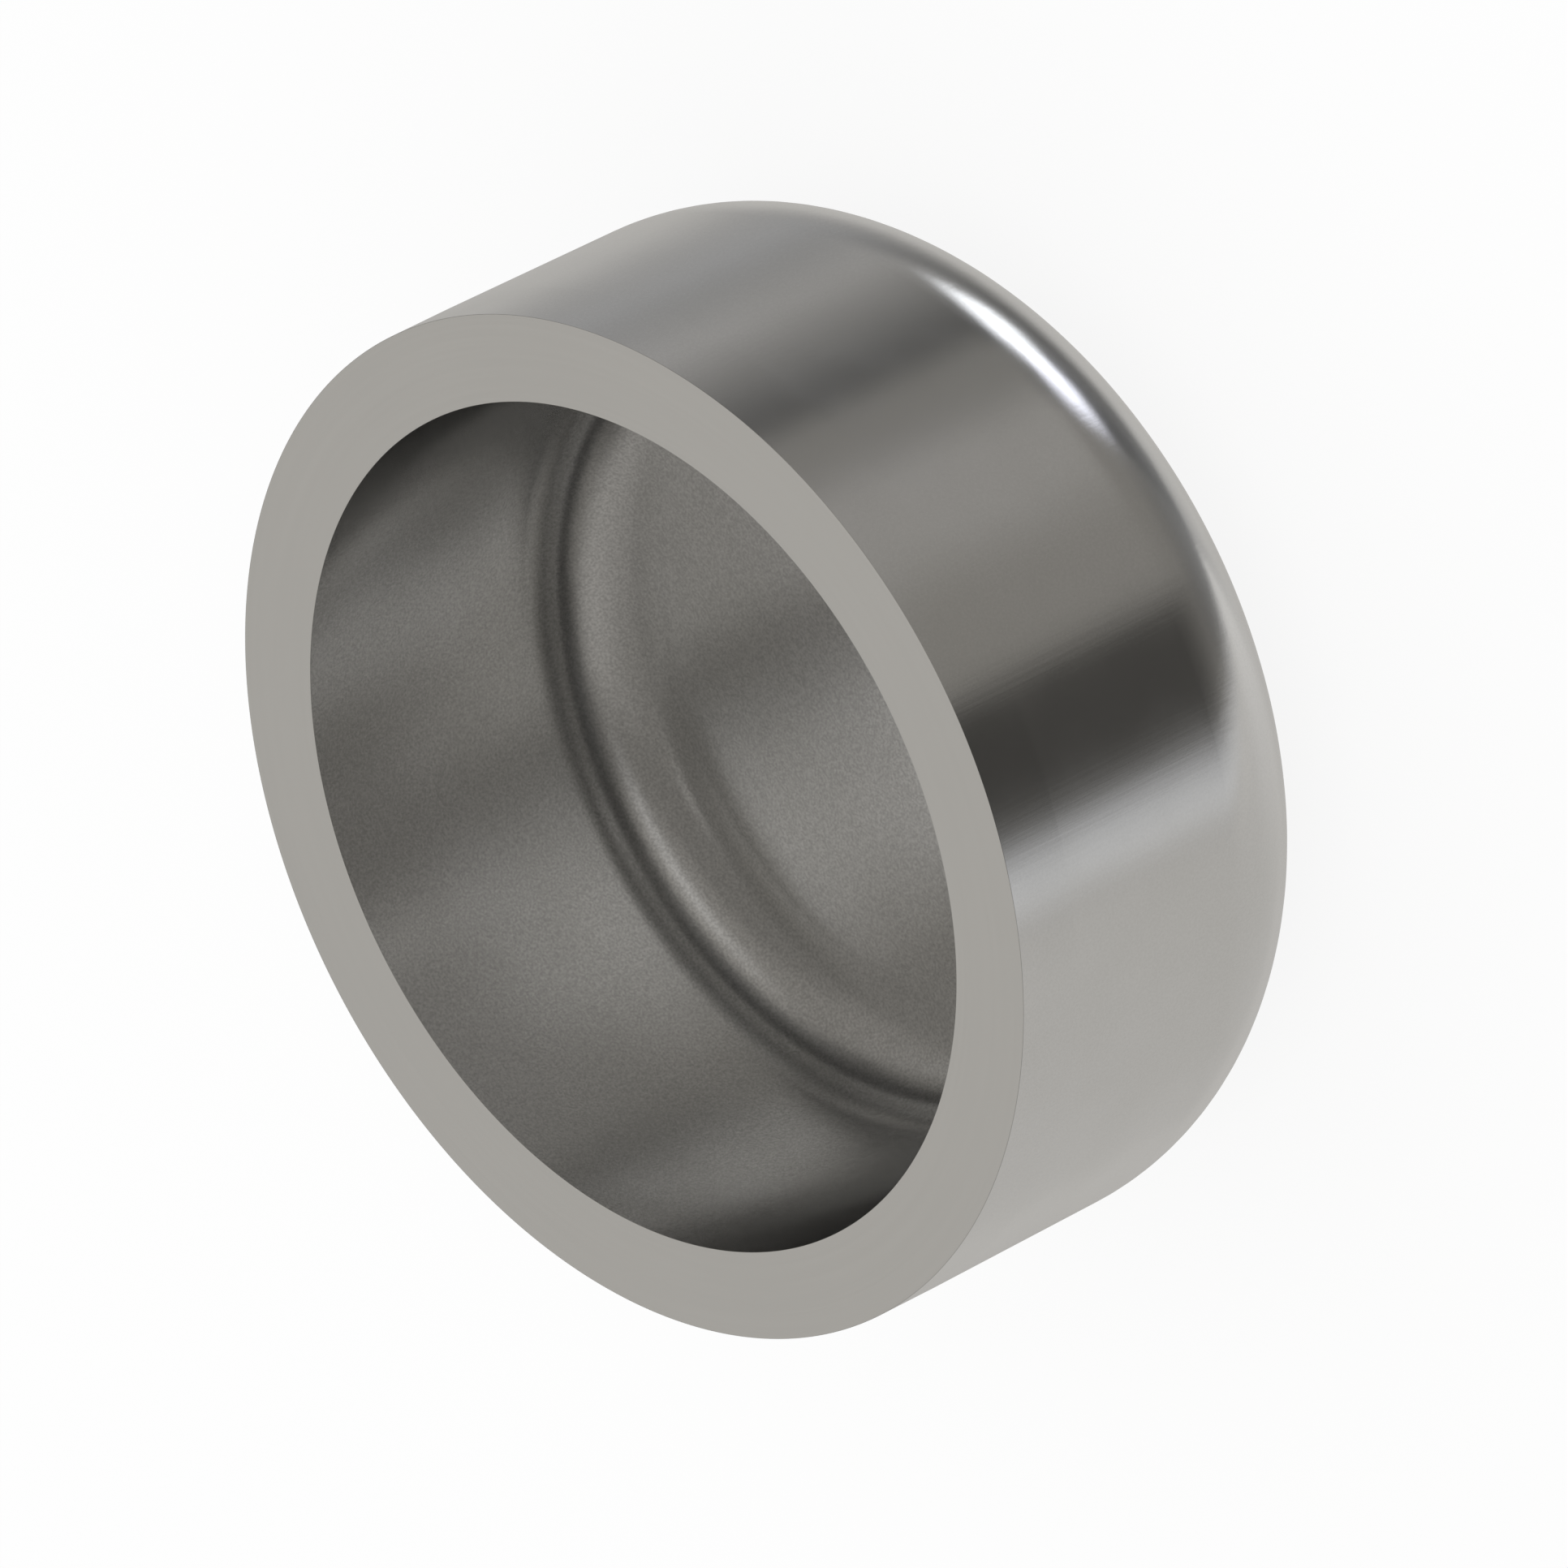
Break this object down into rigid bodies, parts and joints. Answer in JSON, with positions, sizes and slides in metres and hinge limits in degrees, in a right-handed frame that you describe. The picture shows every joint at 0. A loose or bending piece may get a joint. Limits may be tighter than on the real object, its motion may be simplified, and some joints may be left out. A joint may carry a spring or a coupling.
{
  "type": "expansion cup plug",
  "caption": "Drawn steel cup that is pressed into a casting's core hole to seal it, with a flat closed end, a rounded corner and an open mouth.",
  "frame": {"origin": "centre of the closed face's outside, which the plug stands on", "axes": "+Z along the cup's axis, from the closed face to the open mouth; round about Z, so X and Y are free"},
  "size_m": [0.0142, 0.0142, 0.0063],
  "materials": {
    "steel": "satin"
  },
  "bodies": {
    "root": {"cup_plug": "steel"}
  },
  "joints": []
}
